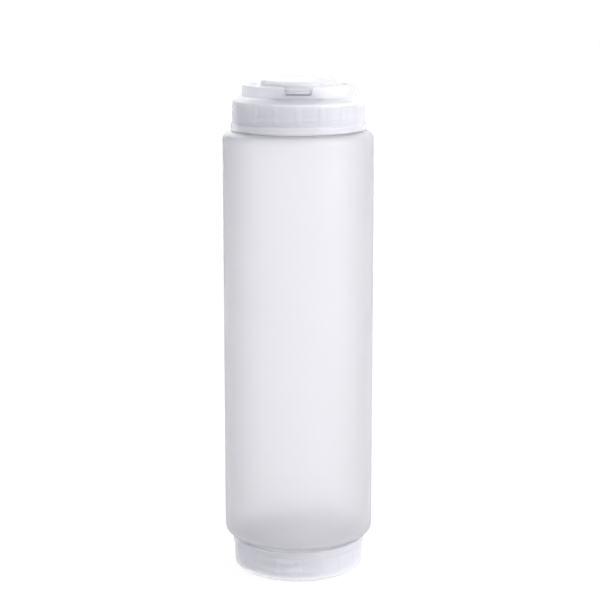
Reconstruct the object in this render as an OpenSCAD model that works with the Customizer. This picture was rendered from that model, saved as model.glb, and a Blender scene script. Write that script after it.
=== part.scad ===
// Squeeze sauce bottle that is open at both ends. The dispensing cap with its
// flip lid screws on the top neck and the refill cap screws on the bottom neck.
// Units are millimetres. The bottle stands on the refill cap at z = 0, the
// thumb notch of the lid faces -Y and the lid hinge is at +Y.

/* [Bottle body] */
// outside diameter of the round body
body_diameter = 70; // [66:0.5:74]
// height of the body between its two shoulders
body_height = 192; // [150:1:230]
// corner radius where the body side turns into the top shoulder
top_corner_radius = 4.4; // [3:0.1:6]
// corner radius where the body side turns into the bottom shoulder
bottom_corner_radius = 4; // [3:0.1:6]
// wall of the blow moulded body and of both necks
body_wall = 1.2; // [0.8:0.1:1.6]

/* [Necks] */
// outside diameter of each neck at the root of its thread
neck_diameter = 55.4; // [54:0.1:55.6]
// length of the upper neck from the shoulder to its mouth
upper_neck_length = 11.9; // [11:0.1:12.2]
// length of the lower neck from the shoulder to its mouth
lower_neck_length = 13; // [12.4:0.1:13.2]
// advance of a cap in one full turn on its thread
thread_pitch = 4.23; // [3:0.01:5]

/* [Cap shells] */
// outside diameter of the smooth skirt of both caps
skirt_diameter = 60.6; // [60.4:0.1:62]
// inside diameter of the skirt at the root of its thread
skirt_bore = 58.2; // [57.8:0.1:58.4]
// outside diameter of the rolled flange on the open edge of a cap
flange_diameter = 62.4; // [62:0.1:64]
// height of that flange
flange_height = 3.2; // [2:0.1:4]
// height of a cap from its open edge to the top of its bevel
cap_height = 15.3; // [14.9:0.1:16.5]
// height of the bevel between the skirt and the end of a cap
bevel_height = 2.2; // [1.6:0.1:2.6]
// diameter at which that bevel ends
bevel_end_diameter = 54.4; // [53.6:0.1:55]
// free height left between the cap edge and the upper shoulder
upper_cap_gap = 0.5; // [0.4:0.1:1.2]
// free height left between the cap edge and the lower shoulder
lower_cap_gap = 1.7; // [1.2:0.1:2]

/* [Grip ribs] */
// number of grip ribs round a cap skirt
rib_count = 18; // [12:1:30]
// radius of the rounded back of one rib
rib_radius = 2.8; // [2:0.1:3.6]
// height by which a rib stands out of the skirt
rib_height = 0.3; // [0.15:0.05:0.45]

/* [Collar and lid] */
// diameter of the collar at its base on the cap
collar_base_diameter = 52.2; // [51.6:0.1:53]
// diameter of the collar at its rim
collar_rim_diameter = 51.6; // [51:0.1:52]
// inside diameter of the collar
collar_bore = 46; // [45:0.1:47]
// height of the collar above the bevel
collar_height = 5.5; // [5:0.1:6]
// width of the thumb notch in the front of the collar
notch_width = 12.6; // [10:0.1:16]
// height of the notch floor above the bevel
notch_floor = 1.6; // [1.2:0.1:2]
// angle from the side at which the collar ends to leave room for the hinge
collar_end_angle = 33.9; // [30:0.1:38]
// thickness of the lid plate inside the collar
lid_plate_thickness = 2; // [1.6:0.1:2.2]
// height of the underside of the lid plate above the bevel
lid_plate_rise = 2.5; // [2.3:0.1:2.8]
// diameter of the raised crown of the lid where it leaves the plate
crown_base_diameter = 35.2; // [32:0.2:38]
// diameter of the crown at its flat top
crown_top_diameter = 33.8; // [30:0.2:37]
// height of the crown above the lid plate
crown_height = 3; // [2.4:0.1:4]
// wall of the crown, which is hollow from below
crown_wall = 1.5; // [1.2:0.1:1.6]
// width of the thumb tab at the front of the lid
tab_width = 10.6; // [7:0.1:11.6]
// distance from the axis to the front of the thumb tab
tab_reach = 24.9; // [24.2:0.1:25.4]

/* [Lid hinge] */
// distance of the hinge line behind the axis
hinge_y = 22.5; // [22.3:0.1:22.9]
// height of the hinge line above the bevel
hinge_rise = 3; // [2.9:0.1:3.4]
// radius of the hinge barrel of the lid
barrel_radius = 1.9; // [1.7:0.1:2]
// length of the hinge barrel between the two ears
barrel_length = 17.4; // [12:0.2:20]
// radius of the rounded top of each hinge ear
ear_radius = 2.2; // [2.1:0.1:2.3]
// thickness of each hinge ear
ear_thickness = 2.6; // [2:0.1:3]
// radius of the stub pin at each end of the barrel
pin_radius = 1; // [0.8:0.05:1.1]

/* [Valve] */
// diameter of the hole in the cap deck that holds the valve
valve_seat_bore = 17; // [16:0.2:18]
// diameter of the clamped foot ring of the valve
valve_foot_diameter = 24; // [23.6:0.2:25]
// diameter of the round sleeve of the valve
valve_sleeve_diameter = 16; // [15:0.1:16.2]
// height of the valve face above the bevel
valve_face_rise = 3.2; // [2.8:0.1:3.6]
// wall of the valve sleeve
valve_wall = 0.9; // [0.7:0.05:1.1]
// radius of the hollow that the valve face is curved to
valve_dish_radius = 16; // [13:0.5:24]
// length of each of the two crossed slits in the valve face
slit_length = 8; // [5:0.5:9]
// width at which each slit is drawn
slit_width = 0.25; // [0.2:0.05:0.4]

/* [Fits] */
// free space between pieces that move past each other
moving_gap = 0.4; // [0.3:0.05:0.45]
// free space between pieces that lie on each other
resting_gap = 0.3; // [0.3:0.05:0.35]
// radial clearance of the hinge pins in their holes
pin_clearance = 0.06; // [0.02:0.01:0.1]

/* [Hidden] */
$fn = 96;
edge_fn = 24;
body_radius = body_diameter / 2;
neck_radius = neck_diameter / 2;
neck_bore = neck_radius - 1.5;
skirt_radius = skirt_diameter / 2;
lower_shoulder_z = cap_height + lower_cap_gap;
upper_shoulder_z = lower_shoulder_z + body_height;
lower_mouth_z = lower_shoulder_z - lower_neck_length;
upper_mouth_z = upper_shoulder_z + upper_neck_length;
cap_open_z = upper_shoulder_z + upper_cap_gap;
bevel_z = cap_open_z + cap_height;
deck_thickness = 2;
seat_depth = 1.2;
gasket_thickness = 1.3;
gasket_outer = neck_radius + 0.2;
gasket_inner = neck_bore - 1.2;
seat_radius = gasket_outer + moving_gap;
deck_under_z = bevel_z - deck_thickness;
rim_z = bevel_z + collar_height;
plate_z = bevel_z + lid_plate_rise;
plate_radius = collar_bore / 2 - moving_gap;
crown_z = plate_z + lid_plate_thickness;
lid_top_z = crown_z + crown_height;
hinge_z = bevel_z + hinge_rise;
plate_end_y = hinge_y - ear_radius - moving_gap;
rib_centre = skirt_radius + rib_height - rib_radius;
end_wall = 2;
foot_ring_outer = bevel_end_diameter / 2 - 0.4;
foot_ring_inner = foot_ring_outer - 5;
foot_recess = 0.7;
flange_edge = 0.5;
retainer_thickness = 1.4;
retainer_outer = valve_foot_diameter / 2 + 2.6;
retainer_inner = valve_sleeve_diameter / 2 - 1.6;
foot_thickness = 1.2;
valve_face_z = bevel_z + valve_face_rise;
spout_radius = valve_seat_bore / 2 + 1.5;
spout_top_z = bevel_z + 3.4;
seal_ring_inner = spout_radius + moving_gap;
seal_ring_outer = seal_ring_inner + 1.2;
seal_ring_z = bevel_z + 0.6;
cut = 1;

// half section of a cylinder with two rounded outer corners
module rounded_section(radius, bottom, top, bottom_radius, top_radius) {
    translate([0, bottom])
        square([radius - bottom_radius, bottom_radius]);
    translate([0, top - top_radius])
        square([radius - top_radius, top_radius]);
    translate([0, bottom + bottom_radius])
        square([radius, top - bottom - bottom_radius - top_radius]);
    intersection() {
        translate([radius - bottom_radius, bottom + bottom_radius])
            circle(r = bottom_radius, $fn = edge_fn);
        translate([0, bottom])
            square([radius, bottom_radius]);
    }
    intersection() {
        translate([radius - top_radius, top - top_radius])
            circle(r = top_radius, $fn = edge_fn);
        translate([0, top - top_radius])
            square([radius, top_radius]);
    }
}

// half section of a straight ring
module ring_section(inner, outer, bottom, top) {
    translate([inner, bottom])
        square([outer - inner, top - bottom]);
}

// thin walled body with a threaded neck at each end
module bottle_body() {
    color([0.88, 0.90, 0.93, 0.6])
    rotate_extrude()
    difference() {
        union() {
            rounded_section(body_radius, lower_shoulder_z, upper_shoulder_z,
                            bottom_corner_radius, top_corner_radius);
            ring_section(0, neck_radius, lower_mouth_z, upper_mouth_z);
        }
        rounded_section(body_radius - body_wall, lower_shoulder_z + body_wall,
                        upper_shoulder_z - body_wall, bottom_corner_radius - body_wall,
                        top_corner_radius - body_wall);
        ring_section(0, neck_bore, lower_mouth_z - cut, upper_mouth_z + cut);
    }
}

// grip ribs, drawn as rounds that stand out of the skirt
module grip_ribs(length) {
    for (index = [0 : rib_count - 1])
        rotate([0, 0, (index + 0.5) * 360 / rib_count])
            translate([rib_centre, 0, 0])
                cylinder(r = rib_radius, h = length, $fn = 32);
}

// outside of a cap from its open edge at z = 0 up to the end of its bevel
module cap_outside() {
    rotate_extrude() {
        rounded_section(flange_diameter / 2, 0, flange_height, flange_edge, flange_edge);
        ring_section(0, skirt_radius, flange_edge, cap_height - bevel_height);
        polygon([
            [0, cap_height - bevel_height],
            [skirt_radius, cap_height - bevel_height],
            [bevel_end_diameter / 2, cap_height],
            [0, cap_height]
        ]);
    }
    translate([0, 0, flange_height - flange_edge])
        grip_ribs(cap_height - bevel_height - flange_height + flange_edge - 0.4);
}

// hollow of a cap with the step that holds its gasket
module cap_inside(ceiling) {
    translate([0, 0, -cut])
        cylinder(d = skirt_bore, h = ceiling - seat_depth + cut);
    translate([0, 0, ceiling - seat_depth - cut])
        cylinder(r = seat_radius, h = seat_depth + cut);
}

// raised ring round the lid, cut open at the rear for the hinge
module collar() {
    difference() {
        translate([0, 0, bevel_z - deck_thickness / 2])
            cylinder(d1 = collar_base_diameter, d2 = collar_rim_diameter,
                     h = collar_height + deck_thickness / 2);
        translate([0, 0, bevel_z])
            cylinder(d = collar_bore, h = collar_height + cut);
        translate([0, 0, bevel_z])
            linear_extrude(height = collar_height + cut)
                polygon([
                    [0, 0],
                    [body_radius * cos(collar_end_angle), body_radius * sin(collar_end_angle)],
                    [body_radius, body_diameter],
                    [-body_radius, body_diameter],
                    [-body_radius * cos(collar_end_angle), body_radius * sin(collar_end_angle)]
                ]);
        thumb_notch();
    }
}

// rounded slot in the front of the collar for the tab of the lid
module thumb_notch() {
    corner = 1.6;
    translate([0, -body_radius, bevel_z + notch_floor])
        rotate([-90, 0, 0])
            linear_extrude(height = body_radius - plate_radius + notch_width)
                union() {
                    translate([-notch_width / 2, -collar_height - corner])
                        square([notch_width, collar_height]);
                    translate([-notch_width / 2 + corner, -collar_height])
                        square([notch_width - 2 * corner, collar_height]);
                    translate([-notch_width / 2 + corner, -corner])
                        circle(r = corner, $fn = edge_fn);
                    translate([notch_width / 2 - corner, -corner])
                        circle(r = corner, $fn = edge_fn);
                }
}

// pair of ears on the deck that carry the stub pins of the lid
module hinge_ears() {
    for (side = [-1, 1])
        difference() {
            union() {
                translate([side * (barrel_length / 2 + resting_gap + ear_thickness / 2),
                           hinge_y, hinge_z])
                    rotate([0, 90, 0])
                        cylinder(r = ear_radius, h = ear_thickness, center = true, $fn = 48);
                translate([side * (barrel_length / 2 + resting_gap + ear_thickness / 2)
                           - ear_thickness / 2, hinge_y - ear_radius, bevel_z - 0.5])
                    cube([ear_thickness, 2 * ear_radius, hinge_rise + 0.5]);
            }
            translate([side * (barrel_length / 2 + resting_gap + ear_thickness / 2),
                       hinge_y, hinge_z])
                rotate([0, 90, 0])
                    cylinder(r = pin_radius + pin_clearance, h = ear_thickness + cut,
                             center = true, $fn = 48);
        }
}

// screw cap with deck, collar, valve spout and hinge ears
module dispensing_cap() {
    color([0.86, 0.88, 0.90, 0.7]) {
        difference() {
            union() {
                translate([0, 0, cap_open_z])
                    cap_outside();
                collar();
                translate([0, 0, deck_under_z])
                    cylinder(r = spout_radius, h = spout_top_z - deck_under_z);
            }
            translate([0, 0, cap_open_z])
                cap_inside(cap_height - deck_thickness);
            translate([0, 0, deck_under_z - cut])
                cylinder(d = valve_seat_bore, h = spout_top_z - deck_under_z + 2 * cut);
        }
        hinge_ears();
        translate([0, 0, deck_under_z - foot_thickness - resting_gap - retainer_thickness])
            difference() {
                cylinder(r = retainer_outer + 1.8,
                         h = foot_thickness + resting_gap + retainer_thickness + cut);
                translate([0, 0, -cut])
                    cylinder(r = retainer_outer + 0.1,
                             h = foot_thickness + resting_gap + retainer_thickness + cut);
                translate([0, 0, -cut])
                    cylinder(d = valve_seat_bore,
                             h = foot_thickness + resting_gap + retainer_thickness + 3 * cut);
            }
    }
}

// flat sealing ring between the mouth of a neck and the end of its cap
module gasket(bottom) {
    color([0.93, 0.93, 0.92])
        translate([0, 0, bottom])
            difference() {
                cylinder(r = gasket_outer, h = gasket_thickness);
                translate([0, 0, -cut])
                    cylinder(r = gasket_inner, h = gasket_thickness + 2 * cut);
            }
}

// sealing ring in the dispensing cap
module dispensing_gasket() {
    gasket(deck_under_z - resting_gap - gasket_thickness);
}

// soft valve with a dished face that opens at two crossed slits
module dispensing_valve() {
    face_thickness = 0.8;
    sleeve_radius = valve_sleeve_diameter / 2;
    color([0.95, 0.95, 0.94])
    difference() {
        rotate_extrude()
        union() {
            ring_section(sleeve_radius - valve_wall, valve_foot_diameter / 2,
                         deck_under_z - foot_thickness, deck_under_z);
            ring_section(sleeve_radius - valve_wall, sleeve_radius,
                         deck_under_z - foot_thickness, valve_face_z);
            difference() {
                ring_section(0, sleeve_radius, valve_face_z - 3 * face_thickness, valve_face_z);
                translate([0, valve_face_z + valve_dish_radius - 1.5 * face_thickness])
                    circle(r = valve_dish_radius);
                difference() {
                    ring_section(0, sleeve_radius - valve_wall,
                                 valve_face_z - 4 * face_thickness, valve_face_z);
                    translate([0, valve_face_z + valve_dish_radius - 1.5 * face_thickness])
                        circle(r = valve_dish_radius + face_thickness);
                }
            }
        }
        for (turn = [0, 90])
            rotate([0, 0, turn])
                translate([-slit_length / 2, -slit_width / 2, deck_under_z])
                    cube([slit_length, slit_width, valve_face_z - deck_under_z + cut]);
    }
}

// ring pressed in from below that clamps the foot of the valve
module valve_retainer() {
    color([0.80, 0.82, 0.84])
    translate([0, 0, deck_under_z - foot_thickness - retainer_thickness])
        difference() {
            cylinder(r = retainer_outer, h = retainer_thickness);
            translate([0, 0, -cut])
                cylinder(r = retainer_inner, h = retainer_thickness + 2 * cut);
        }
}

// lid with hollow crown, sealing ring, thumb tab and hinge barrel
module flip_lid() {
    color([0.84, 0.86, 0.88, 0.8]) {
        difference() {
            union() {
                intersection() {
                    translate([0, 0, plate_z])
                        cylinder(r = plate_radius, h = lid_plate_thickness);
                    translate([-body_radius, plate_end_y - body_diameter, plate_z - cut])
                        cube([body_diameter, body_diameter, lid_plate_thickness + 2 * cut]);
                }
                translate([0, 0, crown_z])
                    cylinder(d1 = crown_base_diameter, d2 = crown_top_diameter, h = crown_height);
                translate([-barrel_length / 2, 0, plate_z])
                    cube([barrel_length, hinge_y, lid_plate_thickness]);
                translate([0, 0, seal_ring_z])
                    cylinder(r = seal_ring_outer, h = crown_z - seal_ring_z);
                thumb_tab();
            }
            translate([0, 0, seal_ring_z - cut])
                cylinder(r = seal_ring_inner, h = lid_top_z - crown_wall - seal_ring_z + cut);
            crown_hollow();
        }
        lid_barrel();
    }
}

// ring shaped hollow under the crown, outside the sealing ring
module crown_hollow() {
    translate([0, 0, plate_z - cut])
        difference() {
            cylinder(r = crown_top_diameter / 2 - crown_wall,
                     h = lid_top_z - crown_wall - plate_z + cut);
            translate([0, 0, -cut])
                cylinder(r = seal_ring_outer, h = lid_top_z - plate_z + 3 * cut);
        }
}

// tab that reaches into the collar notch
module thumb_tab() {
    intersection() {
        translate([-tab_width / 2, -tab_reach - cut, plate_z])
            cube([tab_width, tab_reach, lid_plate_thickness]);
        translate([0, 0, plate_z])
            cylinder(r = tab_reach, h = lid_plate_thickness);
    }
}

// hinge barrel of the lid with a stub pin at each end
module lid_barrel() {
    translate([0, hinge_y, hinge_z])
        rotate([0, 90, 0]) {
            cylinder(r = barrel_radius, h = barrel_length, center = true, $fn = 48);
            cylinder(r = pin_radius,
                     h = barrel_length + 2 * (resting_gap + ear_thickness) - 0.4,
                     center = true, $fn = 48);
        }
}

// plain screw cap that closes the refill end and carries the bottle
module refill_cap() {
    color([0.86, 0.88, 0.90, 0.7])
    difference() {
        translate([0, 0, cap_height])
            mirror([0, 0, 1])
                cap_outside();
        translate([0, 0, cap_height])
            mirror([0, 0, 1])
                cap_inside(cap_height - end_wall);
        translate([0, 0, -cut])
            cylinder(r = foot_ring_inner, h = foot_recess + cut);
    }
}

// sealing ring in the refill cap
module refill_gasket() {
    gasket(end_wall + resting_gap);
}

bottle_body();
dispensing_cap();
dispensing_gasket();
dispensing_valve();
valve_retainer();
flip_lid();
refill_cap();
refill_gasket();
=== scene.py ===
"""Squeeze sauce bottle with a flip cap: looks, studio and camera.

Every size below is in millimetres and repeats the solid model, in the same
frame: the bottle stands on its refill cap at z = 0, the thumb notch of the
lid faces -Y and the lid hinge is at +Y.
"""

import logging
import math
from dataclasses import dataclass, field
from typing import Sequence

import bmesh
import bpy
from mathutils import Matrix, Vector


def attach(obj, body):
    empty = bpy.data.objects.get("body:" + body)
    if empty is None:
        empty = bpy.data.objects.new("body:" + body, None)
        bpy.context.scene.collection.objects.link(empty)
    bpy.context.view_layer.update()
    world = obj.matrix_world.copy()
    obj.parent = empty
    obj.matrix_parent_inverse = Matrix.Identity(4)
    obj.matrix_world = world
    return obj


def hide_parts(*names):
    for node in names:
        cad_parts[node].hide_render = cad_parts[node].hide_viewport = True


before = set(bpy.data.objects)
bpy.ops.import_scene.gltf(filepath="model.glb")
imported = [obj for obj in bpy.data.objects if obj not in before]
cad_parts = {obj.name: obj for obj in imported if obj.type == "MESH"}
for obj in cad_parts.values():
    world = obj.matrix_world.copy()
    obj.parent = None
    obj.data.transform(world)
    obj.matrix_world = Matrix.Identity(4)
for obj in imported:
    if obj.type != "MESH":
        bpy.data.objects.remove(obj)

LOG = logging.getLogger("sauce_bottle")
MM = 0.001
SECTORS = 12
EDGE_DEGREES = 32.0
SHARP_RADIANS = 1.0
BODY_STEPS = 252
CAP_STEPS = 540
VALVE_STEPS = 132
SEAL_STEPS = 156
RUN_OUT_DEGREES = 24
UPPER_THREAD_PHASE = 20.0
LOWER_THREAD_PHASE = 70.0
MATING_TURN = 180.0 * 1.14
SENSOR_MM = 36.0
Colour = tuple[float, float, float]


@dataclass(frozen=True)
class Corner:
    """A corner of a half section: distance from the axis, height, rounding."""

    reach: float
    height: float
    rounding: float = 0.0


def turning_angle(before: Vector, here: Vector, after: Vector) -> float:
    """Give the angle by which an outline turns at a corner.

    Args:
        before: The corner before it.
        here: The corner itself.
        after: The corner after it.

    Returns:
        The exterior angle in radians.
    """
    return (here - before).angle(after - here, 0.0)


def round_corners(mesh: bmesh.types.BMesh, corners: Sequence[bmesh.types.BMVert],
                  roundings: Sequence[float], segments: int) -> None:
    """Round the corners of a flat outline, each by its own radius.

    Args:
        mesh: The mesh that holds the outline as one face.
        corners: The outline's corners in order.
        roundings: The radius of each corner in metres, 0 for a sharp one.
        segments: The number of edges in each rounding.
    """
    count = len(corners)
    places = [corner.co.copy() for corner in corners]
    for index, corner in enumerate(corners):
        radius = roundings[index]
        if radius <= 0.0:
            continue
        turn = turning_angle(places[index - 1], places[index], places[(index + 1) % count])
        bmesh.ops.bevel(mesh, geom=[corner], offset=radius * math.tan(turn / 2),
                        offset_type="OFFSET", segments=segments, profile=0.5,
                        affect="VERTICES", clamp_overlap=False, material=-1)


def turned_solid(corners: Sequence[Corner], steps: int = 192, segments: int = 4,
                 longest: float = 3.0) -> bmesh.types.BMesh:
    """Turn a closed half section about the bottle's axis into a solid.

    Args:
        corners: The half section's corners in order, in millimetres.
        steps: The number of steps in the full turn.
        segments: The number of edges in each rounded corner.
        longest: The longest edge that stays whole along the section.

    Returns:
        The closed solid, with its faces pointing outwards.
    """
    mesh = bmesh.new()
    places = [mesh.verts.new((c.reach * MM, 0.0, c.height * MM)) for c in corners]
    outline = mesh.faces.new(places)
    round_corners(mesh, places, [c.rounding * MM for c in corners], segments)
    outline = mesh.faces[:] if not outline.is_valid else [outline]
    bmesh.ops.delete(mesh, geom=outline, context="FACES_ONLY")
    on_axis = [e for e in mesh.edges if all(abs(v.co.x) < 1e-9 for v in e.verts)]
    bmesh.ops.delete(mesh, geom=on_axis, context="EDGES")
    for edge in list(mesh.edges):
        cuts = int(edge.calc_length() / (longest * MM))
        if cuts > 0:
            bmesh.ops.subdivide_edges(mesh, edges=[edge], cuts=min(cuts, 60))
    bmesh.ops.spin(mesh, geom=mesh.verts[:] + mesh.edges[:], cent=(0, 0, 0), axis=(0, 0, 1),
                   angle=2 * math.pi / SECTORS, steps=steps // SECTORS, use_merge=False,
                   use_duplicate=False)
    sector = mesh.verts[:] + mesh.edges[:] + mesh.faces[:]
    for index in range(1, SECTORS):
        copied = bmesh.ops.duplicate(mesh, geom=sector)["geom"]
        bmesh.ops.rotate(mesh, verts=[v for v in copied if isinstance(v, bmesh.types.BMVert)],
                         cent=(0, 0, 0),
                         matrix=Matrix.Rotation(index * 2 * math.pi / SECTORS, 3, "Z"))
    bmesh.ops.remove_doubles(mesh, verts=mesh.verts[:], dist=1e-6)
    bmesh.ops.recalc_face_normals(mesh, faces=mesh.faces[:])
    return mesh


def helical_ridge(root: float, crest: float, width: float, start: float, turns: float,
                  pitch: float, phase: float, steps: int = 128) -> bmesh.types.BMesh:
    """Sweep a screw thread's ridge along its helix, with ends that run out.

    Args:
        root: Distance from the axis to the buried foot of the ridge.
        crest: Distance from the axis to the top of the ridge.
        width: Width of the ridge at its foot.
        start: Height of the ridge's centre where it begins.
        turns: Number of turns.
        pitch: Rise in one turn.
        phase: Angle in degrees at which it begins.
        steps: Number of steps in one turn.

    Returns:
        The closed ridge.
    """
    mesh = bmesh.new()
    half_foot, half_top = width / 2 * MM, width / 4 * MM
    places = [mesh.verts.new(spot) for spot in (
        (root * MM, 0, start * MM - half_foot), (crest * MM, 0, start * MM - half_top),
        (crest * MM, 0, start * MM + half_top), (root * MM, 0, start * MM + half_foot))]
    mesh.faces.new(places)
    round_corners(mesh, places, [0.0, 0.3 * MM, 0.3 * MM, 0.0], 3)
    bmesh.ops.delete(mesh, geom=mesh.faces[:], context="FACES_ONLY")
    count = int(steps * turns)
    angle = 2 * math.pi * turns
    bmesh.ops.spin(mesh, geom=mesh.verts[:] + mesh.edges[:], cent=(0, 0, 0), axis=(0, 0, 1),
                   angle=angle, dvec=(0, 0, pitch * MM * turns / count), steps=count,
                   use_merge=False, use_duplicate=False)
    open_ends = [e for e in mesh.edges if len(e.link_faces) == 1]
    bmesh.ops.holes_fill(mesh, edges=open_ends, sides=0)
    run_out = math.radians(RUN_OUT_DEGREES)
    for vert in mesh.verts:
        travel = (vert.co.z / MM - start) / pitch * 2 * math.pi
        from_end = max(0.0, min(travel, angle - travel))
        share = min(1.0, from_end / run_out)
        reach = math.hypot(vert.co.x, vert.co.y)
        wanted = root * MM + (reach - root * MM) * share
        vert.co.x *= wanted / reach
        vert.co.y *= wanted / reach
    bmesh.ops.rotate(mesh, verts=mesh.verts[:], cent=(0, 0, 0),
                     matrix=Matrix.Rotation(math.radians(phase), 3, "Z"))
    bmesh.ops.recalc_face_normals(mesh, faces=mesh.faces[:])
    return mesh


def plate_with_hole(outline: Sequence[tuple[float, float]], roundings: Sequence[float],
                    hole_at: tuple[float, float], hole_radius: float, side: float,
                    thickness: float, edge: float) -> bmesh.types.BMesh:
    """Make an upright plate with a round hole, such as a hinge ear.

    Args:
        outline: The plate's corners as distances behind the axis and heights.
        roundings: The rounding of each corner.
        hole_at: The centre of the hole.
        hole_radius: The radius of the hole.
        side: Place of the plate's left face along X.
        thickness: Thickness of the plate along X.
        edge: Width of the bevel on its edges.

    Returns:
        The closed plate.
    """
    mesh = bmesh.new()
    places = [mesh.verts.new((side * MM, y * MM, z * MM)) for y, z in outline]
    mesh.faces.new(places)
    round_corners(mesh, places, [r * MM for r in roundings], 8)
    bmesh.ops.delete(mesh, geom=mesh.faces[:], context="FACES_ONLY")
    rim = mesh.edges[:]
    ring = bmesh.ops.create_circle(mesh, segments=32, radius=hole_radius * MM, cap_ends=False)
    bmesh.ops.rotate(mesh, verts=ring["verts"], cent=(0, 0, 0),
                     matrix=Matrix.Rotation(math.pi / 2, 3, "Y"))
    bmesh.ops.translate(mesh, verts=ring["verts"],
                        vec=(side * MM, hole_at[0] * MM, hole_at[1] * MM))
    hole = list({e for v in ring["verts"] for e in v.link_edges})
    bmesh.ops.triangle_fill(mesh, edges=rim + hole, use_beauty=True)
    grown = bmesh.ops.extrude_face_region(mesh, geom=mesh.faces[:])
    moved = [v for v in grown["geom"] if isinstance(v, bmesh.types.BMVert)]
    bmesh.ops.translate(mesh, verts=moved, vec=(thickness * MM, 0, 0))
    bmesh.ops.recalc_face_normals(mesh, faces=mesh.faces[:])
    sharp = [e for e in mesh.edges if len(e.link_faces) == 2
             and e.calc_face_angle(0) > SHARP_RADIANS]
    bmesh.ops.bevel(mesh, geom=sharp, offset=edge * MM, segments=2, profile=0.5,
                    affect="EDGES", clamp_overlap=True, material=-1)
    return mesh


def smooth_share(value: float) -> float:
    """Ease a share in and out.

    Args:
        value: The share, which is first held between 0 and 1.

    Returns:
        The eased share.
    """
    share = max(0.0, min(1.0, value))
    return share * share * (3 - 2 * share)


def make_piece(name: str, mesh: bmesh.types.BMesh, finish: "Finish", body: str,
               nodes: Sequence[str] = ()) -> bpy.types.Object:
    """Turn a mesh into a named piece that rides on a body of the bottle.

    Args:
        name: The piece's name.
        mesh: The mesh, which is used up.
        finish: The finish that dresses it.
        body: The moving body that it rides on.
        nodes: The solids that it replaces.

    Returns:
        The new object.
    """
    data = bpy.data.meshes.new(name)
    mesh.to_mesh(data)
    mesh.free()
    data.polygons.foreach_set("use_smooth", [True] * len(data.polygons))
    data.set_sharp_from_angle(angle=math.radians(EDGE_DEGREES))
    data.materials.append(finish.material())
    piece = bpy.data.objects.new(name, data)
    bpy.context.scene.collection.objects.link(piece)
    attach(piece, body)
    if nodes:
        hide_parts(*nodes)
    LOG.info("%s: %d faces on %s", name, len(data.polygons), body)
    return piece


class NodeBench:
    """Places shader nodes from left to right and joins them."""

    def __init__(self, tree: bpy.types.NodeTree) -> None:
        """Start with an empty node tree.

        Args:
            tree: The node tree to fill.
        """
        self.tree = tree
        self.tree.nodes.clear()
        self.column = 0

    def add(self, kind: str, **values: object) -> bpy.types.Node:
        """Add a node and set its properties.

        Args:
            kind: The node's type name.
            values: Properties to set on it.

        Returns:
            The new node.
        """
        node = self.tree.nodes.new(kind)
        node.location = (self.column * 190, 0)
        self.column += 1
        for key, value in values.items():
            setattr(node, key, value)
        return node

    def join(self, source: bpy.types.NodeSocket, target: bpy.types.NodeSocket) -> None:
        """Join one socket to another.

        Args:
            source: The output socket.
            target: The input socket.
        """
        self.tree.links.new(source, target)


@dataclass(frozen=True)
class Finish:
    """A moulded plastic or rubber with faint mottling and a soft surface."""

    name: str
    light: Colour
    deep: Colour
    roughness: float
    roughness_spread: float
    transmission: float
    ior: float
    mottle_size: float
    ripple_size: float
    ripple_depth: float
    opacity: float = 1.0

    def material(self) -> bpy.types.Material:
        """Give the material, which is made once and then shared.

        Returns:
            The material.
        """
        known = bpy.data.materials.get(self.name)
        if known is not None:
            return known
        made = bpy.data.materials.new(self.name)
        made.use_nodes = True
        bench = NodeBench(made.node_tree)
        place = bench.add("ShaderNodeTexCoord")
        mottle = bench.add("ShaderNodeTexNoise")
        mottle.inputs["Scale"].default_value = 1.0 / (self.mottle_size * MM)
        mottle.inputs["Detail"].default_value = 3.0
        bench.join(place.outputs["Object"], mottle.inputs["Vector"])
        tint = bench.add("ShaderNodeValToRGB")
        tint.color_ramp.elements[0].position = 0.35
        tint.color_ramp.elements[1].position = 0.65
        tint.color_ramp.elements[0].color = (*self.deep, 1.0)
        tint.color_ramp.elements[1].color = (*self.light, 1.0)
        bench.join(mottle.outputs["Fac"], tint.inputs["Fac"])
        grain = bench.add("ShaderNodeMapRange")
        grain.inputs["From Min"].default_value = 0.3
        grain.inputs["From Max"].default_value = 0.7
        grain.inputs["To Min"].default_value = self.roughness - self.roughness_spread
        grain.inputs["To Max"].default_value = self.roughness + self.roughness_spread
        bench.join(mottle.outputs["Fac"], grain.inputs["Value"])
        ripple = bench.add("ShaderNodeTexNoise")
        ripple.inputs["Scale"].default_value = 1.0 / (self.ripple_size * MM)
        ripple.inputs["Detail"].default_value = 2.0
        bench.join(place.outputs["Object"], ripple.inputs["Vector"])
        relief = bench.add("ShaderNodeBump")
        relief.inputs["Strength"].default_value = 0.6
        relief.inputs["Distance"].default_value = self.ripple_depth * MM
        bench.join(ripple.outputs["Fac"], relief.inputs["Height"])
        shader = bench.add("ShaderNodeBsdfPrincipled")
        shader.inputs["IOR"].default_value = self.ior
        shader.inputs["Transmission Weight"].default_value = self.transmission
        shader.inputs["Alpha"].default_value = self.opacity
        bench.join(tint.outputs["Color"], shader.inputs["Base Color"])
        bench.join(grain.outputs["Result"], shader.inputs["Roughness"])
        bench.join(relief.outputs["Normal"], shader.inputs["Normal"])
        self.decorate(bench, place, tint, shader)
        out = bench.add("ShaderNodeOutputMaterial")
        bench.join(shader.outputs["BSDF"], out.inputs["Surface"])
        return made

    def decorate(self, bench: NodeBench, place: bpy.types.Node, tint: bpy.types.Node,
                 shader: bpy.types.Node) -> None:
        """Leave the plain finish as it is; a finish with marks adds them here.

        Args:
            bench: The bench to build on.
            place: The node that gives object coordinates.
            tint: The node that gives the base colour.
            shader: The main shader.
        """


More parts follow.
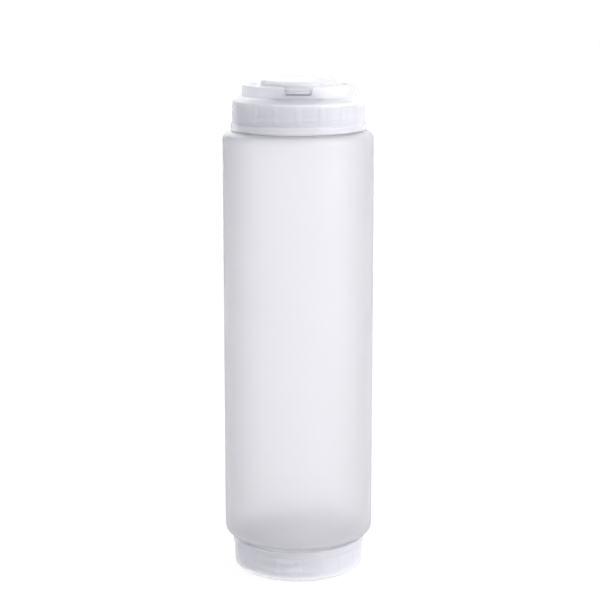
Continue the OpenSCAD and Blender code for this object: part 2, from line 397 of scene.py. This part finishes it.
@dataclass(frozen=True)
class SlitFinish(Finish):
    """Valve silicone with two crossed slits cut through its face."""

    slit_length: float = 8.0
    slit_width: float = 0.3

    def decorate(self, bench: NodeBench, place: bpy.types.Node, tint: bpy.types.Node,
                 shader: bpy.types.Node) -> None:
        """Darken two crossed lines on the valve's face.

        Args:
            bench: The bench to build on.
            place: The node that gives object coordinates.
            tint: The node that gives the base colour.
            shader: The main shader.
        """
        parts = bench.add("ShaderNodeSeparateXYZ")
        bench.join(place.outputs["Object"], parts.inputs["Vector"])
        lines = []
        for across, along in (("X", "Y"), ("Y", "X")):
            near = bench.add("ShaderNodeMath", operation="COMPARE")
            near.inputs[1].default_value = 0.0
            near.inputs[2].default_value = self.slit_width / 2 * MM
            bench.join(parts.outputs[across], near.inputs[0])
            within = bench.add("ShaderNodeMath", operation="COMPARE")
            within.inputs[1].default_value = 0.0
            within.inputs[2].default_value = self.slit_length / 2 * MM
            bench.join(parts.outputs[along], within.inputs[0])
            both = bench.add("ShaderNodeMath", operation="MULTIPLY")
            bench.join(near.outputs[0], both.inputs[0])
            bench.join(within.outputs[0], both.inputs[1])
            lines.append(both)
        cross = bench.add("ShaderNodeMath", operation="MAXIMUM")
        bench.join(lines[0].outputs[0], cross.inputs[0])
        bench.join(lines[1].outputs[0], cross.inputs[1])
        shade = bench.add("ShaderNodeMix", data_type="RGBA")
        shade.inputs["B"].default_value = (0.18, 0.19, 0.20, 1.0)
        bench.join(cross.outputs[0], shade.inputs["Factor"])
        bench.join(tint.outputs["Color"], shade.inputs["A"])
        bench.join(shade.outputs["Result"], shader.inputs["Base Color"])


FROSTED_BODY = Finish(
    "frosted_squeeze_plastic", light=(0.97, 0.965, 0.985), deep=(0.955, 0.955, 0.98),
    roughness=0.40, roughness_spread=0.05, transmission=0.90, ior=1.5,
    mottle_size=26.0, ripple_size=9.0, ripple_depth=0.05)
CLEAR_CAP = Finish(
    "natural_cap_plastic", light=(0.915, 0.92, 0.965), deep=(0.90, 0.905, 0.955),
    roughness=0.34, roughness_spread=0.04, transmission=0.50, ior=1.49,
    mottle_size=14.0, ripple_size=5.0, ripple_depth=0.02, opacity=0.50)
# The lid is the caps' plastic painted darker: painted shade that tones down the key lamp's light
# on its crown.
SHADED_LID_PLASTIC = Finish(
    "lid_plastic_painted_shade", light=(0.86, 0.86, 0.885), deep=(0.845, 0.845, 0.875),
    roughness=0.38, roughness_spread=0.04, transmission=0.45, ior=1.49,
    mottle_size=14.0, ripple_size=5.0, ripple_depth=0.02, opacity=0.56)
THREAD_PLASTIC = Finish(
    "natural_thread_plastic", light=(0.83, 0.835, 0.885), deep=(0.81, 0.82, 0.87),
    roughness=0.40, roughness_spread=0.04, transmission=0.30, ior=1.49,
    mottle_size=14.0, ripple_size=5.0, ripple_depth=0.02)
SEAL_RUBBER = Finish(
    "white_seal_rubber", light=(0.88, 0.88, 0.87), deep=(0.84, 0.84, 0.83),
    roughness=0.55, roughness_spread=0.05, transmission=0.0, ior=1.45,
    mottle_size=8.0, ripple_size=2.0, ripple_depth=0.02)
RING_PLASTIC = Finish(
    "natural_ring_plastic", light=(0.84, 0.86, 0.88), deep=(0.82, 0.84, 0.87),
    roughness=0.30, roughness_spread=0.04, transmission=0.35, ior=1.49,
    mottle_size=10.0, ripple_size=4.0, ripple_depth=0.02)
VALVE_SILICONE = SlitFinish(
    "slit_valve_silicone", light=(0.88, 0.89, 0.90), deep=(0.85, 0.86, 0.88),
    roughness=0.38, roughness_spread=0.04, transmission=0.45, ior=1.42,
    mottle_size=6.0, ripple_size=2.0, ripple_depth=0.02)


@dataclass
class SqueezeBody:
    """Thin round body with a threaded neck at each end."""

    radius: float = 35.0
    wall: float = 1.2
    bottom: float = 17.0
    top: float = 209.0
    bottom_round: float = 4.0
    top_round: float = 4.4
    neck_radius: float = 27.7
    neck_bore: float = 26.2
    lower_mouth: float = 4.0
    upper_mouth: float = 220.9
    thread_crest: float = 28.9
    thread_width: float = 2.0
    thread_turns: float = 2.0
    thread_sunk: float = 0.2
    upper_thread: float = 210.9
    lower_thread: float = 5.6
    pitch: float = 4.23

    def section(self) -> list[Corner]:
        """Give the wall's half section, from the lower mouth round to it again.

        Returns:
            The corners in order.
        """
        inside = self.radius - self.wall
        return [
            Corner(self.neck_radius, self.lower_mouth, 0.5),
            Corner(self.neck_radius, self.bottom, 0.9),
            Corner(self.radius, self.bottom, self.bottom_round),
            Corner(self.radius, self.top, self.top_round),
            Corner(self.neck_radius, self.top, 0.9),
            Corner(self.neck_radius, self.upper_mouth, 0.5),
            Corner(self.neck_bore, self.upper_mouth, 0.4),
            Corner(self.neck_bore, self.top - self.wall, 1.0),
            Corner(inside, self.top - self.wall, self.top_round - self.wall),
            Corner(inside, self.bottom + self.wall, self.bottom_round - self.wall),
            Corner(self.neck_bore, self.bottom + self.wall, 1.0),
            Corner(self.neck_bore, self.lower_mouth, 0.4),
        ]

    def build(self) -> None:
        """Make the body and the threads of both necks."""
        mesh = turned_solid(self.section(), steps=BODY_STEPS, segments=8, longest=8.0)
        make_piece("squeeze_body", mesh, FROSTED_BODY, "bottle",
                   ["bottle_body"])
        for name, start, phase in (
                ("upper_neck_thread", self.upper_thread, UPPER_THREAD_PHASE),
                ("lower_neck_thread", self.lower_thread, LOWER_THREAD_PHASE)):
            ridge = helical_ridge(self.neck_radius - self.thread_sunk, self.thread_crest,
                                  self.thread_width, start, self.thread_turns, self.pitch, phase)
            make_piece(name, ridge, THREAD_PLASTIC, "bottle")


@dataclass
class CapShell:
    """What the skirts of both screw caps share."""

    skirt_top: float = 30.3
    skirt_foot: float = 30.5
    bore: float = 29.1
    flange: float = 31.2
    flange_height: float = 3.2
    height: float = 15.3
    bevel_height: float = 2.2
    bevel_end: float = 27.2
    seat: float = 28.3
    seat_depth: float = 1.2
    rib_count: int = 18
    rib_height: float = 0.28
    rib_half_width: float = 1.75
    thread_crest: float = 27.95
    thread_width: float = 1.9
    thread_turns: float = 1.75
    thread_sunk: float = 0.15
    pitch: float = 4.23
    rib_crown: float = 0.30
    rib_flank: float = 0.70
    rib_run_out: float = 0.9

    def raise_ribs(self, mesh: bmesh.types.BMesh, low: float, high: float) -> None:
        """Raise the grip ribs out of the skirt.

        Args:
            mesh: The cap's mesh.
            low: Height at which the ribs begin.
            high: Height at which they end.
        """
        spacing = 2 * math.pi / self.rib_count
        for vert in mesh.verts:
            reach = math.hypot(vert.co.x, vert.co.y) / MM
            height = vert.co.z / MM
            if reach < self.skirt_top - 0.6 or not low < height < high:
                continue
            angle = math.atan2(vert.co.y, vert.co.x) - spacing / 2
            away = abs((angle + spacing / 2) % spacing - spacing / 2) * reach
            share = smooth_share(1.0 - (away - self.rib_half_width * self.rib_crown)
                                 / (self.rib_half_width * self.rib_flank))
            ends = smooth_share(min(height - low, high - height) / self.rib_run_out)
            grown = (reach + self.rib_height * share * ends) / reach
            vert.co.x *= grown
            vert.co.y *= grown

    def add_thread(self, name: str, start: float, neck_phase: float, body: str) -> None:
        """Make the thread inside the cap.

        Args:
            name: The piece's name.
            start: Height at which the thread begins.
            neck_phase: Angle in degrees at which the neck's thread begins.
            body: The moving body that it rides on.
        """
        ridge = helical_ridge(self.bore + self.thread_sunk, self.thread_crest,
                              self.thread_width, start, self.thread_turns, self.pitch,
                              neck_phase + MATING_TURN)
        make_piece(name, ridge, CLEAR_CAP, body)


@dataclass
class DispensingCap(CapShell):
    """Screw cap with deck, spout, collar and the ears of the lid hinge."""

    open_edge: float = 209.5
    thread_start: float = 211.2
    deck: float = 224.8
    deck_under: float = 222.8
    collar_foot: float = 26.1
    collar_rim: float = 25.8
    collar_bore: float = 23.0
    collar_height: float = 5.5
    notch_half: float = 6.3
    notch_floor: float = 1.6
    notch_round: float = 1.6
    notch_blend: float = 0.4
    collar_end: float = 33.9
    collar_fade: float = 1.2
    collar_stub: float = 0.006
    spout: float = 10.0
    spout_bore: float = 8.5
    spout_height: float = 3.4
    sleeve: float = 14.7
    sleeve_wall: float = 1.7
    sleeve_end: float = 219.9
    hinge_y: float = 22.5
    hinge_z: float = 227.8
    ear_start: float = 9.0
    ear_thickness: float = 2.6
    ear_radius: float = 2.2
    ear_bevel: float = 0.2
    pin_hole: float = 1.06

    def section(self) -> list[Corner]:
        """Give the half section, from the open edge round to it again.

        Returns:
            The corners in order.
        """
        edge = self.open_edge
        rim = self.deck + self.collar_height
        under = self.deck_under
        return [
            Corner(self.bore, edge, 0.3),
            Corner(self.flange, edge, 0.6),
            Corner(self.flange, edge + self.flange_height, 0.6),
            Corner(self.skirt_foot, edge + self.flange_height, 0.35),
            Corner(self.skirt_top, self.deck - self.bevel_height, 0.5),
            Corner(self.bevel_end, self.deck, 0.4),
            Corner(self.collar_foot, self.deck, 0.35),
            Corner(self.collar_rim, rim, 0.5),
            Corner(self.collar_bore, rim, 0.5),
            Corner(self.collar_bore, self.deck, 0.4),
            Corner(self.spout, self.deck, 0.4),
            Corner(self.spout, self.deck + self.spout_height, 0.4),
            Corner(self.spout_bore, self.deck + self.spout_height, 0.4),
            Corner(self.spout_bore, under, 0.2),
            Corner(self.sleeve, under, 0.0),
            Corner(self.sleeve, self.sleeve_end, 0.3),
            Corner(self.sleeve + self.sleeve_wall, self.sleeve_end, 0.3),
            Corner(self.sleeve + self.sleeve_wall, under, 0.3),
            Corner(self.seat, under, 0.2),
            Corner(self.seat, under - self.seat_depth, 0.0),
            Corner(self.bore, under - self.seat_depth, 0.2),
        ]

    def collar_share(self, x: float, y: float) -> float:
        """Give the share of its full height that the collar has at a place.

        Args:
            x: Place along X in millimetres.
            y: Place along Y in millimetres.

        Returns:
            A share between 0, where the collar is cut away, and 1.
        """
        side = abs(x)
        if y < 0 and side < self.notch_half + self.notch_blend:
            flat = self.notch_half - self.notch_round
            rise = 0.0
            if side > flat:
                run = min(side - flat, self.notch_round)
                rise = self.notch_round - math.sqrt(self.notch_round ** 2 - run ** 2)
            blend = smooth_share((side - self.notch_half + 0.1) / self.notch_blend)
            floor = (self.notch_floor + rise) / self.collar_height
            return floor + (1 - floor) * blend
        angle = math.degrees(math.atan2(y, side))
        return max(self.collar_stub, smooth_share((self.collar_end - angle) / self.collar_fade))

    def cut_collar(self, mesh: bmesh.types.BMesh) -> None:
        """Lower the collar for the thumb notch and for the hinge.

        Args:
            mesh: The cap's mesh.
        """
        for vert in mesh.verts:
            reach = math.hypot(vert.co.x, vert.co.y) / MM
            above = vert.co.z / MM - self.deck
            if above < 0.01 or not self.collar_bore - 0.6 < reach < self.collar_foot + 0.5:
                continue
            share = self.collar_share(vert.co.x / MM, vert.co.y / MM)
            vert.co.z = (self.deck + above * share) * MM

    def build(self) -> None:
        """Make the cap, the thread inside it and the two hinge ears."""
        mesh = turned_solid(self.section(), steps=CAP_STEPS, segments=4, longest=1.6)
        self.cut_collar(mesh)
        self.raise_ribs(mesh, self.open_edge + self.flange_height + 0.2,
                        self.deck - self.bevel_height - 0.1)
        bmesh.ops.recalc_face_normals(mesh, faces=mesh.faces[:])
        body, slot = "dispensing_closure", "cap_plastic"
        make_piece("dispensing_cap_shell", mesh, CLEAR_CAP, body, ["dispensing_cap"])
        self.add_thread("dispensing_cap_thread", self.thread_start, UPPER_THREAD_PHASE, body)
        top = self.hinge_z + self.ear_radius
        outline = [(self.hinge_y - self.ear_radius, self.deck - 0.3),
                   (self.hinge_y + self.ear_radius, self.deck - 0.3),
                   (self.hinge_y + self.ear_radius, top), (self.hinge_y - self.ear_radius, top)]
        roundings = [0.0, 0.0, self.ear_radius - 0.05, self.ear_radius - 0.05]
        for name, start in (("hinge_ear_right", self.ear_start),
                            ("hinge_ear_left", -self.ear_start - self.ear_thickness)):
            ear = plate_with_hole(outline, roundings, (self.hinge_y, self.hinge_z),
                                  self.pin_hole, start, self.ear_thickness, self.ear_bevel)
            make_piece(name, ear, CLEAR_CAP, body)


@dataclass
class SlitValve:
    """Silicone valve, the ring that clamps it and the cap's sealing ring."""

    deck_under: float = 222.8
    face: float = 228.0
    sleeve: float = 8.0
    wall: float = 0.9
    foot: float = 12.0
    foot_thickness: float = 1.2
    skin: float = 0.8
    dish: float = 1.2
    ring_outer: float = 14.6
    ring_inner: float = 6.4
    ring_thickness: float = 1.4
    gasket_outer: float = 27.9
    gasket_inner: float = 25.0
    gasket_low: float = 221.2
    gasket_thickness: float = 1.3

    def section(self) -> list[Corner]:
        """Give the valve's half section with its dished face.

        Returns:
            The corners in order.
        """
        inner = self.sleeve - self.wall
        low = self.deck_under - self.foot_thickness
        near_centre, near_rim = self.face - self.dish * 0.88, self.face - self.dish * 0.5
        return [
            Corner(0.0, self.face - self.dish, 0.0),
            Corner(2.2, near_centre, 0.0),
            Corner(4.3, near_rim, 0.0),
            Corner(6.1, self.face, 0.3),
            Corner(self.sleeve, self.face, 0.4),
            Corner(self.sleeve, self.deck_under, 0.3),
            Corner(self.foot, self.deck_under, 0.2),
            Corner(self.foot, low, 0.2),
            Corner(inner, low, 0.2),
            Corner(inner, self.face - 0.9, 0.3),
            Corner(4.3, near_rim - self.skin, 0.0),
            Corner(2.2, near_centre - self.skin, 0.0),
            Corner(0.0, self.face - self.dish - self.skin, 0.0),
        ]

    def build(self) -> None:
        """Make the valve, its clamping ring and the sealing ring."""
        make_piece("slit_valve", turned_solid(self.section(), steps=VALVE_STEPS, longest=1.5),
                   VALVE_SILICONE, "dispensing_closure", ["dispensing_valve"])
        low = self.deck_under - self.foot_thickness - self.ring_thickness
        high = low + self.ring_thickness
        ring = [Corner(self.ring_inner, low, 0.3), Corner(self.ring_outer, low, 0.3),
                Corner(self.ring_outer, high, 0.2), Corner(self.ring_inner, high, 0.2)]
        make_piece("valve_clamp_ring", turned_solid(ring, steps=VALVE_STEPS), RING_PLASTIC,
                   "dispensing_closure", ["valve_retainer"])
        make_seal_ring("dispensing_seal_ring", self.gasket_inner, self.gasket_outer,
                       self.gasket_low, self.gasket_thickness, "dispensing_seal",
                       "dispensing_gasket")


def make_seal_ring(name: str, inner: float, outer: float, low: float, thickness: float,
                   body: str, node: str) -> None:
    """Make the flat sealing ring of a screw cap.

    Args:
        name: The piece's name.
        inner: Inner radius.
        outer: Outer radius.
        low: Height of its lower face.
        thickness: Its thickness.
        body: The body that it rides on.
        node: The solid that it replaces.
    """
    ring = [Corner(inner, low, 0.35), Corner(outer, low, 0.35),
            Corner(outer, low + thickness, 0.35), Corner(inner, low + thickness, 0.35)]
    make_piece(name, turned_solid(ring, steps=SEAL_STEPS), SEAL_RUBBER, body,
               [node])


@dataclass
class FlipLid:
    """Lid with a hollow crown, a thumb tab and a hinge barrel."""

    top: float = 232.3
    plate_top: float = 229.3
    plate_low: float = 227.3
    plate_radius: float = 22.6
    crown_foot: float = 17.6
    crown_head: float = 16.9
    hollow: float = 15.4
    wall: float = 1.5
    ring_outer: float = 11.6
    ring_inner: float = 10.4
    ring_low: float = 225.4
    plate_end: float = 19.9
    tab_half: float = 5.3
    tab_reach: float = 24.9
    hinge_y: float = 22.5
    hinge_z: float = 227.8
    barrel_radius: float = 1.9
    barrel_half: float = 8.7
    barrel_steps: int = 28
    tongue_length: float = 3.0
    rim_from: float = 21.0
    pin_radius: float = 1.0
    pin_end: float = 11.4
    pin_bevel: float = 0.18
    pin_rim_angle: float = 1.2

    def section(self) -> list[Corner]:
        """Give the lid's half section.

        Returns:
            The corners in order.
        """
        ceiling = self.top - self.wall
        return [
            Corner(0.0, self.top, 0.0),
            Corner(self.crown_head, self.top, 0.6),
            Corner(self.crown_foot, self.plate_top, 0.5),
            Corner(self.plate_radius, self.plate_top, 0.4),
            Corner(self.plate_radius, self.plate_low, 0.4),
            Corner(self.hollow, self.plate_low, 0.3),
            Corner(self.hollow, ceiling, 0.5),
            Corner(self.ring_outer, ceiling, 0.5),
            Corner(self.ring_outer, self.ring_low, 0.3),
            Corner(self.ring_inner, self.ring_low, 0.3),
            Corner(self.ring_inner, ceiling, 0.5),
            Corner(0.0, ceiling, 0.0),
        ]

    def shape_plate(self, mesh: bmesh.types.BMesh) -> None:
        """Draw out the thumb tab and flatten the plate in front of the hinge.

        Args:
            mesh: The lid's mesh.
        """
        for vert in mesh.verts:
            x, y = vert.co.x / MM, vert.co.y / MM
            reach = math.hypot(x, y)
            if reach < self.rim_from:
                continue
            if y < 0 and abs(x) < self.tab_half + 0.5:
                share = smooth_share((self.tab_half + 0.3 - abs(x)) / 0.5)
                grown = 1 + (self.tab_reach / self.plate_radius - 1) * share
                vert.co.x = x * MM
                vert.co.y = y * grown * MM
            elif y > self.plate_end:
                vert.co.y = self.plate_end * MM

    def barrel(self) -> bmesh.types.BMesh:
        """Make the tongue that joins the plate to the hinge barrel.

        Returns:
            The closed piece without its pins.
        """
        mesh = bmesh.new()
        side = -self.barrel_half * MM
        rise = self.plate_top - self.hinge_z
        drop = self.plate_low - self.hinge_z
        upper = math.atan2(rise, -math.sqrt(self.barrel_radius ** 2 - rise ** 2))
        lower = math.atan2(drop, -math.sqrt(self.barrel_radius ** 2 - drop ** 2))
        start = mesh.verts.new((side, (self.hinge_y + self.barrel_radius * math.cos(upper)) * MM,
                                (self.hinge_z + self.barrel_radius * math.sin(upper)) * MM))
        sweep = (upper - lower) % (2 * math.pi)
        bmesh.ops.spin(mesh, geom=[start], cent=(side, self.hinge_y * MM, self.hinge_z * MM),
                       axis=(1, 0, 0), angle=-sweep, steps=self.barrel_steps,
                       use_merge=False, use_duplicate=False)
        loose = [v for v in mesh.verts if len(v.link_edges) == 1]
        root = (self.hollow + self.tongue_length) * MM
        foot = [mesh.verts.new((side, root, self.plate_top * MM)),
                mesh.verts.new((side, root, self.plate_low * MM))]
        upper_end = max(loose, key=lambda v: v.co.z)
        lower_end = min(loose, key=lambda v: v.co.z)
        mesh.edges.new((upper_end, foot[0]))
        mesh.edges.new((foot[0], foot[1]))
        mesh.edges.new((foot[1], lower_end))
        bmesh.ops.contextual_create(mesh, geom=mesh.edges[:])
        grown = bmesh.ops.extrude_face_region(mesh, geom=mesh.faces[:])
        moved = [v for v in grown["geom"] if isinstance(v, bmesh.types.BMVert)]
        bmesh.ops.translate(mesh, verts=moved, vec=(2 * self.barrel_half * MM, 0, 0))
        bmesh.ops.recalc_face_normals(mesh, faces=mesh.faces[:])
        return mesh

    def pin(self, side: int) -> bmesh.types.BMesh:
        """Make one stub pin of the hinge.

        Args:
            side: -1 for the left pin, 1 for the right one.

        Returns:
            The closed pin.
        """
        mesh = bmesh.new()
        inside = self.barrel_half - 1.0
        bmesh.ops.create_cone(mesh, cap_ends=True, segments=40, radius1=self.pin_radius * MM,
                              radius2=self.pin_radius * MM, depth=(self.pin_end - inside) * MM)
        rim = [e for e in mesh.edges if not e.is_boundary
               and e.calc_face_angle(0) > self.pin_rim_angle]
        bmesh.ops.bevel(mesh, geom=rim, offset=self.pin_bevel * MM, segments=2, profile=0.5,
                        affect="EDGES", material=-1)
        bmesh.ops.rotate(mesh, verts=mesh.verts[:], cent=(0, 0, 0),
                         matrix=Matrix.Rotation(math.pi / 2, 3, "Y"))
        bmesh.ops.translate(mesh, verts=mesh.verts[:],
                            vec=(side * (self.pin_end + inside) / 2 * MM, self.hinge_y * MM,
                                 self.hinge_z * MM))
        return mesh

    def build(self) -> None:
        """Make the lid, its hinge barrel and its pins."""
        mesh = turned_solid(self.section(), steps=CAP_STEPS, segments=4, longest=1.6)
        self.shape_plate(mesh)
        bmesh.ops.recalc_face_normals(mesh, faces=mesh.faces[:])
        make_piece("lid_crown_and_plate", mesh, SHADED_LID_PLASTIC, "lid", ["flip_lid"])
        make_piece("lid_hinge_barrel", self.barrel(), SHADED_LID_PLASTIC, "lid")
        for name, side in (("lid_hinge_pin_left", -1), ("lid_hinge_pin_right", 1)):
            make_piece(name, self.pin(side), SHADED_LID_PLASTIC, "lid")


@dataclass
class RefillCap(CapShell):
    """Plain screw cap on which the bottle stands."""

    end_wall: float = 2.0
    foot_outer: float = 27.2
    foot_inner: float = 21.8
    recess: float = 0.7
    thread_start: float = 5.4
    gasket_inner: float = 25.0
    gasket_outer: float = 27.9
    gasket_low: float = 2.3
    gasket_thickness: float = 1.3

    def section(self) -> list[Corner]:
        """Give the cap's half section, standing on its end face.

        Returns:
            The corners in order.
        """
        top = self.height
        return [
            Corner(0.0, self.end_wall, 0.0),
            Corner(self.seat, self.end_wall, 0.2),
            Corner(self.seat, self.end_wall + self.seat_depth, 0.0),
            Corner(self.bore, self.end_wall + self.seat_depth, 0.2),
            Corner(self.bore, top, 0.3),
            Corner(self.flange, top, 0.6),
            Corner(self.flange, top - self.flange_height, 0.6),
            Corner(self.skirt_foot, top - self.flange_height, 0.35),
            Corner(self.skirt_top, self.bevel_height, 0.5),
            Corner(self.foot_outer, 0.0, 0.35),
            Corner(self.foot_inner, 0.0, 0.3),
            Corner(self.foot_inner, self.recess, 0.3),
            Corner(0.0, self.recess, 0.0),
        ]

    def build(self) -> None:
        """Make the cap, the thread inside it and its sealing ring."""
        mesh = turned_solid(self.section(), steps=CAP_STEPS, segments=4, longest=1.6)
        self.raise_ribs(mesh, self.bevel_height + 0.1, self.height - self.flange_height - 0.2)
        bmesh.ops.recalc_face_normals(mesh, faces=mesh.faces[:])
        make_piece("refill_cap_shell", mesh, CLEAR_CAP, "refill_closure",
                   ["refill_cap"])
        self.add_thread("refill_cap_thread", self.thread_start, LOWER_THREAD_PHASE,
                        "refill_closure")
        make_seal_ring("refill_seal_ring", self.gasket_inner, self.gasket_outer,
                       self.gasket_low, self.gasket_thickness, "refill_seal", "refill_gasket")


@dataclass(frozen=True)
class PhotoCamera:
    """Camera that stands where the photograph was taken."""

    side: float = 0.00076
    distance: float = 0.779
    height: float = 0.2801
    pitch_down: float = 10.96
    focal_px: float = 1688.0
    frame_px: float = 600.0

    def build(self) -> None:
        """Make the camera and set it as the scene's own."""
        data = bpy.data.cameras.new("photo_camera")
        data.sensor_width = SENSOR_MM
        data.sensor_fit = "HORIZONTAL"
        data.lens = self.focal_px / self.frame_px * SENSOR_MM
        data.clip_start = 0.01
        camera = bpy.data.objects.new("photo_camera", data)
        camera.location = (self.side, -self.distance, self.height)
        camera.rotation_euler = (math.radians(90 - self.pitch_down), 0, 0)
        bpy.context.scene.collection.objects.link(camera)
        bpy.context.scene.camera = camera
        LOG.info("camera: lens %.1f mm", data.lens)


@dataclass(frozen=True)
class SoftLamp:
    """A soft rectangular lamp."""

    name: str
    place: tuple[float, float, float]
    aim: tuple[float, float, float]
    size: tuple[float, float]
    power: float

    def build(self) -> None:
        """Hang the lamp and point it."""
        data = bpy.data.lights.new(self.name, "AREA")
        data.shape = "RECTANGLE"
        data.size, data.size_y = self.size
        data.energy = self.power
        lamp = bpy.data.objects.new(self.name, data)
        lamp.location = self.place
        lamp.rotation_euler = (Vector(self.aim) - Vector(self.place)).to_track_quat(
            "-Z", "Y").to_euler()
        bpy.context.scene.collection.objects.link(lamp)
        LOG.info("%s: %.1f W", self.name, self.power)


@dataclass
class Studio:
    """White floor, soft sky and lamps.

    The sky's tones are given by bearing in degrees, from +Y, which lies behind
    the bottle, towards +X. The first two entries are the ramp's own end stops.
    """

    floor_half: float = 3.0
    floor_colour: float = 0.80
    shadow_share: float = 0.14
    glow_strength: float = 1.06
    sky_strength: float = 1.18
    sky_tones: tuple[tuple[float, Colour], ...] = (
        (-180.0, (0.68, 0.68, 0.69)), (180.0, (0.68, 0.68, 0.69)),
        (-122.0, (0.84, 0.83, 0.86)), (-98.0, (0.72, 0.72, 0.76)), (-58.0, (0.26, 0.27, 0.33)),
        (-38.0, (0.32, 0.33, 0.40)), (-24.0, (0.60, 0.60, 0.65)), (-12.0, (0.96, 0.95, 0.96)),
        (6.0, (0.90, 0.89, 0.91)), (24.0, (1.15, 1.15, 1.18)), (40.0, (1.05, 1.05, 1.12)),
        (56.0, (0.58, 0.59, 0.68)), (76.0, (0.82, 0.82, 0.90)),
        (98.0, (1.80, 1.78, 1.82)), (120.0, (1.70, 1.69, 1.72)), (144.0, (0.86, 0.86, 0.88)))
    lamps: list[SoftLamp] = field(default_factory=lambda: [
        SoftLamp("key_softbox", (0.95, -0.60, 0.70), (0, 0, 0.13), (0.6, 0.9), 7.5),
        SoftLamp("rear_fill", (-0.3, 1.1, 0.8), (0, 0, 0.12), (0.9, 0.9), 4.0),
    ])

    def floor(self) -> None:
        """Lay the floor, which shows white and keeps a faint shadow."""
        mesh = bmesh.new()
        bmesh.ops.create_grid(mesh, x_segments=2, y_segments=2, size=self.floor_half)
        data = bpy.data.meshes.new("studio_floor")
        mesh.to_mesh(data)
        mesh.free()
        floor = bpy.data.objects.new("studio_floor", data)
        bpy.context.scene.collection.objects.link(floor)
        made = bpy.data.materials.new("studio_floor")
        made.use_nodes = True
        bench = NodeBench(made.node_tree)
        path = bench.add("ShaderNodeLightPath")
        paint = bench.add("ShaderNodeBsdfDiffuse")
        paint.inputs["Color"].default_value = (self.floor_colour,) * 3 + (1.0,)
        glow = bench.add("ShaderNodeEmission")
        glow.inputs["Color"].default_value = (1.0, 1.0, 1.0, 1.0)
        glow.inputs["Strength"].default_value = self.glow_strength
        share = bench.add("ShaderNodeMath", operation="MULTIPLY")
        share.inputs[1].default_value = 1.0 - self.shadow_share
        seen = self.seen_rays(bench, path)
        bench.join(seen, share.inputs[0])
        mix = bench.add("ShaderNodeMixShader")
        bench.join(share.outputs[0], mix.inputs["Fac"])
        bench.join(paint.outputs["BSDF"], mix.inputs[1])
        bench.join(glow.outputs["Emission"], mix.inputs[2])
        out = bench.add("ShaderNodeOutputMaterial")
        bench.join(mix.outputs["Shader"], out.inputs["Surface"])
        data.materials.append(made)

    @staticmethod
    def seen_rays(bench: NodeBench, path: bpy.types.Node) -> bpy.types.NodeSocket:
        """Give 1 for rays that show the background itself.

        Args:
            bench: The bench to build on.
            path: The light path node.

        Returns:
            The socket that carries the answer.
        """
        first = bench.add("ShaderNodeMath", operation="MAXIMUM")
        bench.join(path.outputs["Is Camera Ray"], first.inputs[0])
        bench.join(path.outputs["Is Transmission Ray"], first.inputs[1])
        second = bench.add("ShaderNodeMath", operation="MAXIMUM")
        bench.join(first.outputs[0], second.inputs[0])
        bench.join(path.outputs["Is Glossy Ray"], second.inputs[1])
        return second.outputs[0]

    def sky(self) -> None:
        """Light the scene from all round: most from the right, least from the rear left."""
        world = bpy.data.worlds.new("studio_sky")
        world.use_nodes = True
        bench = NodeBench(world.node_tree)
        path = bench.add("ShaderNodeLightPath")
        way = bench.add("ShaderNodeTexCoord")
        parts = bench.add("ShaderNodeSeparateXYZ")
        bench.join(way.outputs["Generated"], parts.inputs["Vector"])
        around = bench.add("ShaderNodeMath", operation="ARCTAN2")
        bench.join(parts.outputs["X"], around.inputs[0])
        bench.join(parts.outputs["Y"], around.inputs[1])
        turn = bench.add("ShaderNodeMapRange")
        turn.inputs["From Min"].default_value = -math.pi
        turn.inputs["From Max"].default_value = math.pi
        bench.join(around.outputs[0], turn.inputs["Value"])
        level = bench.add("ShaderNodeValToRGB")
        level.color_ramp.interpolation = "EASE"
        stops = level.color_ramp.elements
        for index, (bearing, tone) in enumerate(self.sky_tones):
            place = (bearing + 180.0) / 360.0
            stop = stops[index] if index < 2 else stops.new(place)
            stop.position = place
            stop.color = (*tone, 1.0)
        bench.join(turn.outputs["Result"], level.inputs["Fac"])
        light = bench.add("ShaderNodeBackground")
        light.inputs["Strength"].default_value = self.sky_strength
        bench.join(level.outputs["Color"], light.inputs["Color"])
        white = bench.add("ShaderNodeBackground")
        white.inputs["Color"].default_value = (1.0, 1.0, 1.0, 1.0)
        white.inputs["Strength"].default_value = 1.0
        mix = bench.add("ShaderNodeMixShader")
        bench.join(path.outputs["Is Camera Ray"], mix.inputs["Fac"])
        bench.join(light.outputs["Background"], mix.inputs[1])
        bench.join(white.outputs["Background"], mix.inputs[2])
        out = bench.add("ShaderNodeOutputWorld")
        bench.join(mix.outputs["Shader"], out.inputs["Surface"])
        bpy.context.scene.world = world

    def build(self) -> None:
        """Make the floor, the sky and the lamps."""
        self.floor()
        self.sky()
        for lamp in self.lamps:
            lamp.build()
        bpy.context.scene.view_settings.view_transform = "Standard"


def main() -> None:
    """Build the camera, the bottle and the studio, and log face counts, lens and lamp powers."""
    logging.basicConfig(level=logging.INFO, format="%(name)s: %(message)s")
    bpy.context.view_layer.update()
    PhotoCamera().build()
    SqueezeBody().build()
    DispensingCap().build()
    SlitValve().build()
    FlipLid().build()
    RefillCap().build()
    Studio().build()


if __name__ == "__main__":
    main()
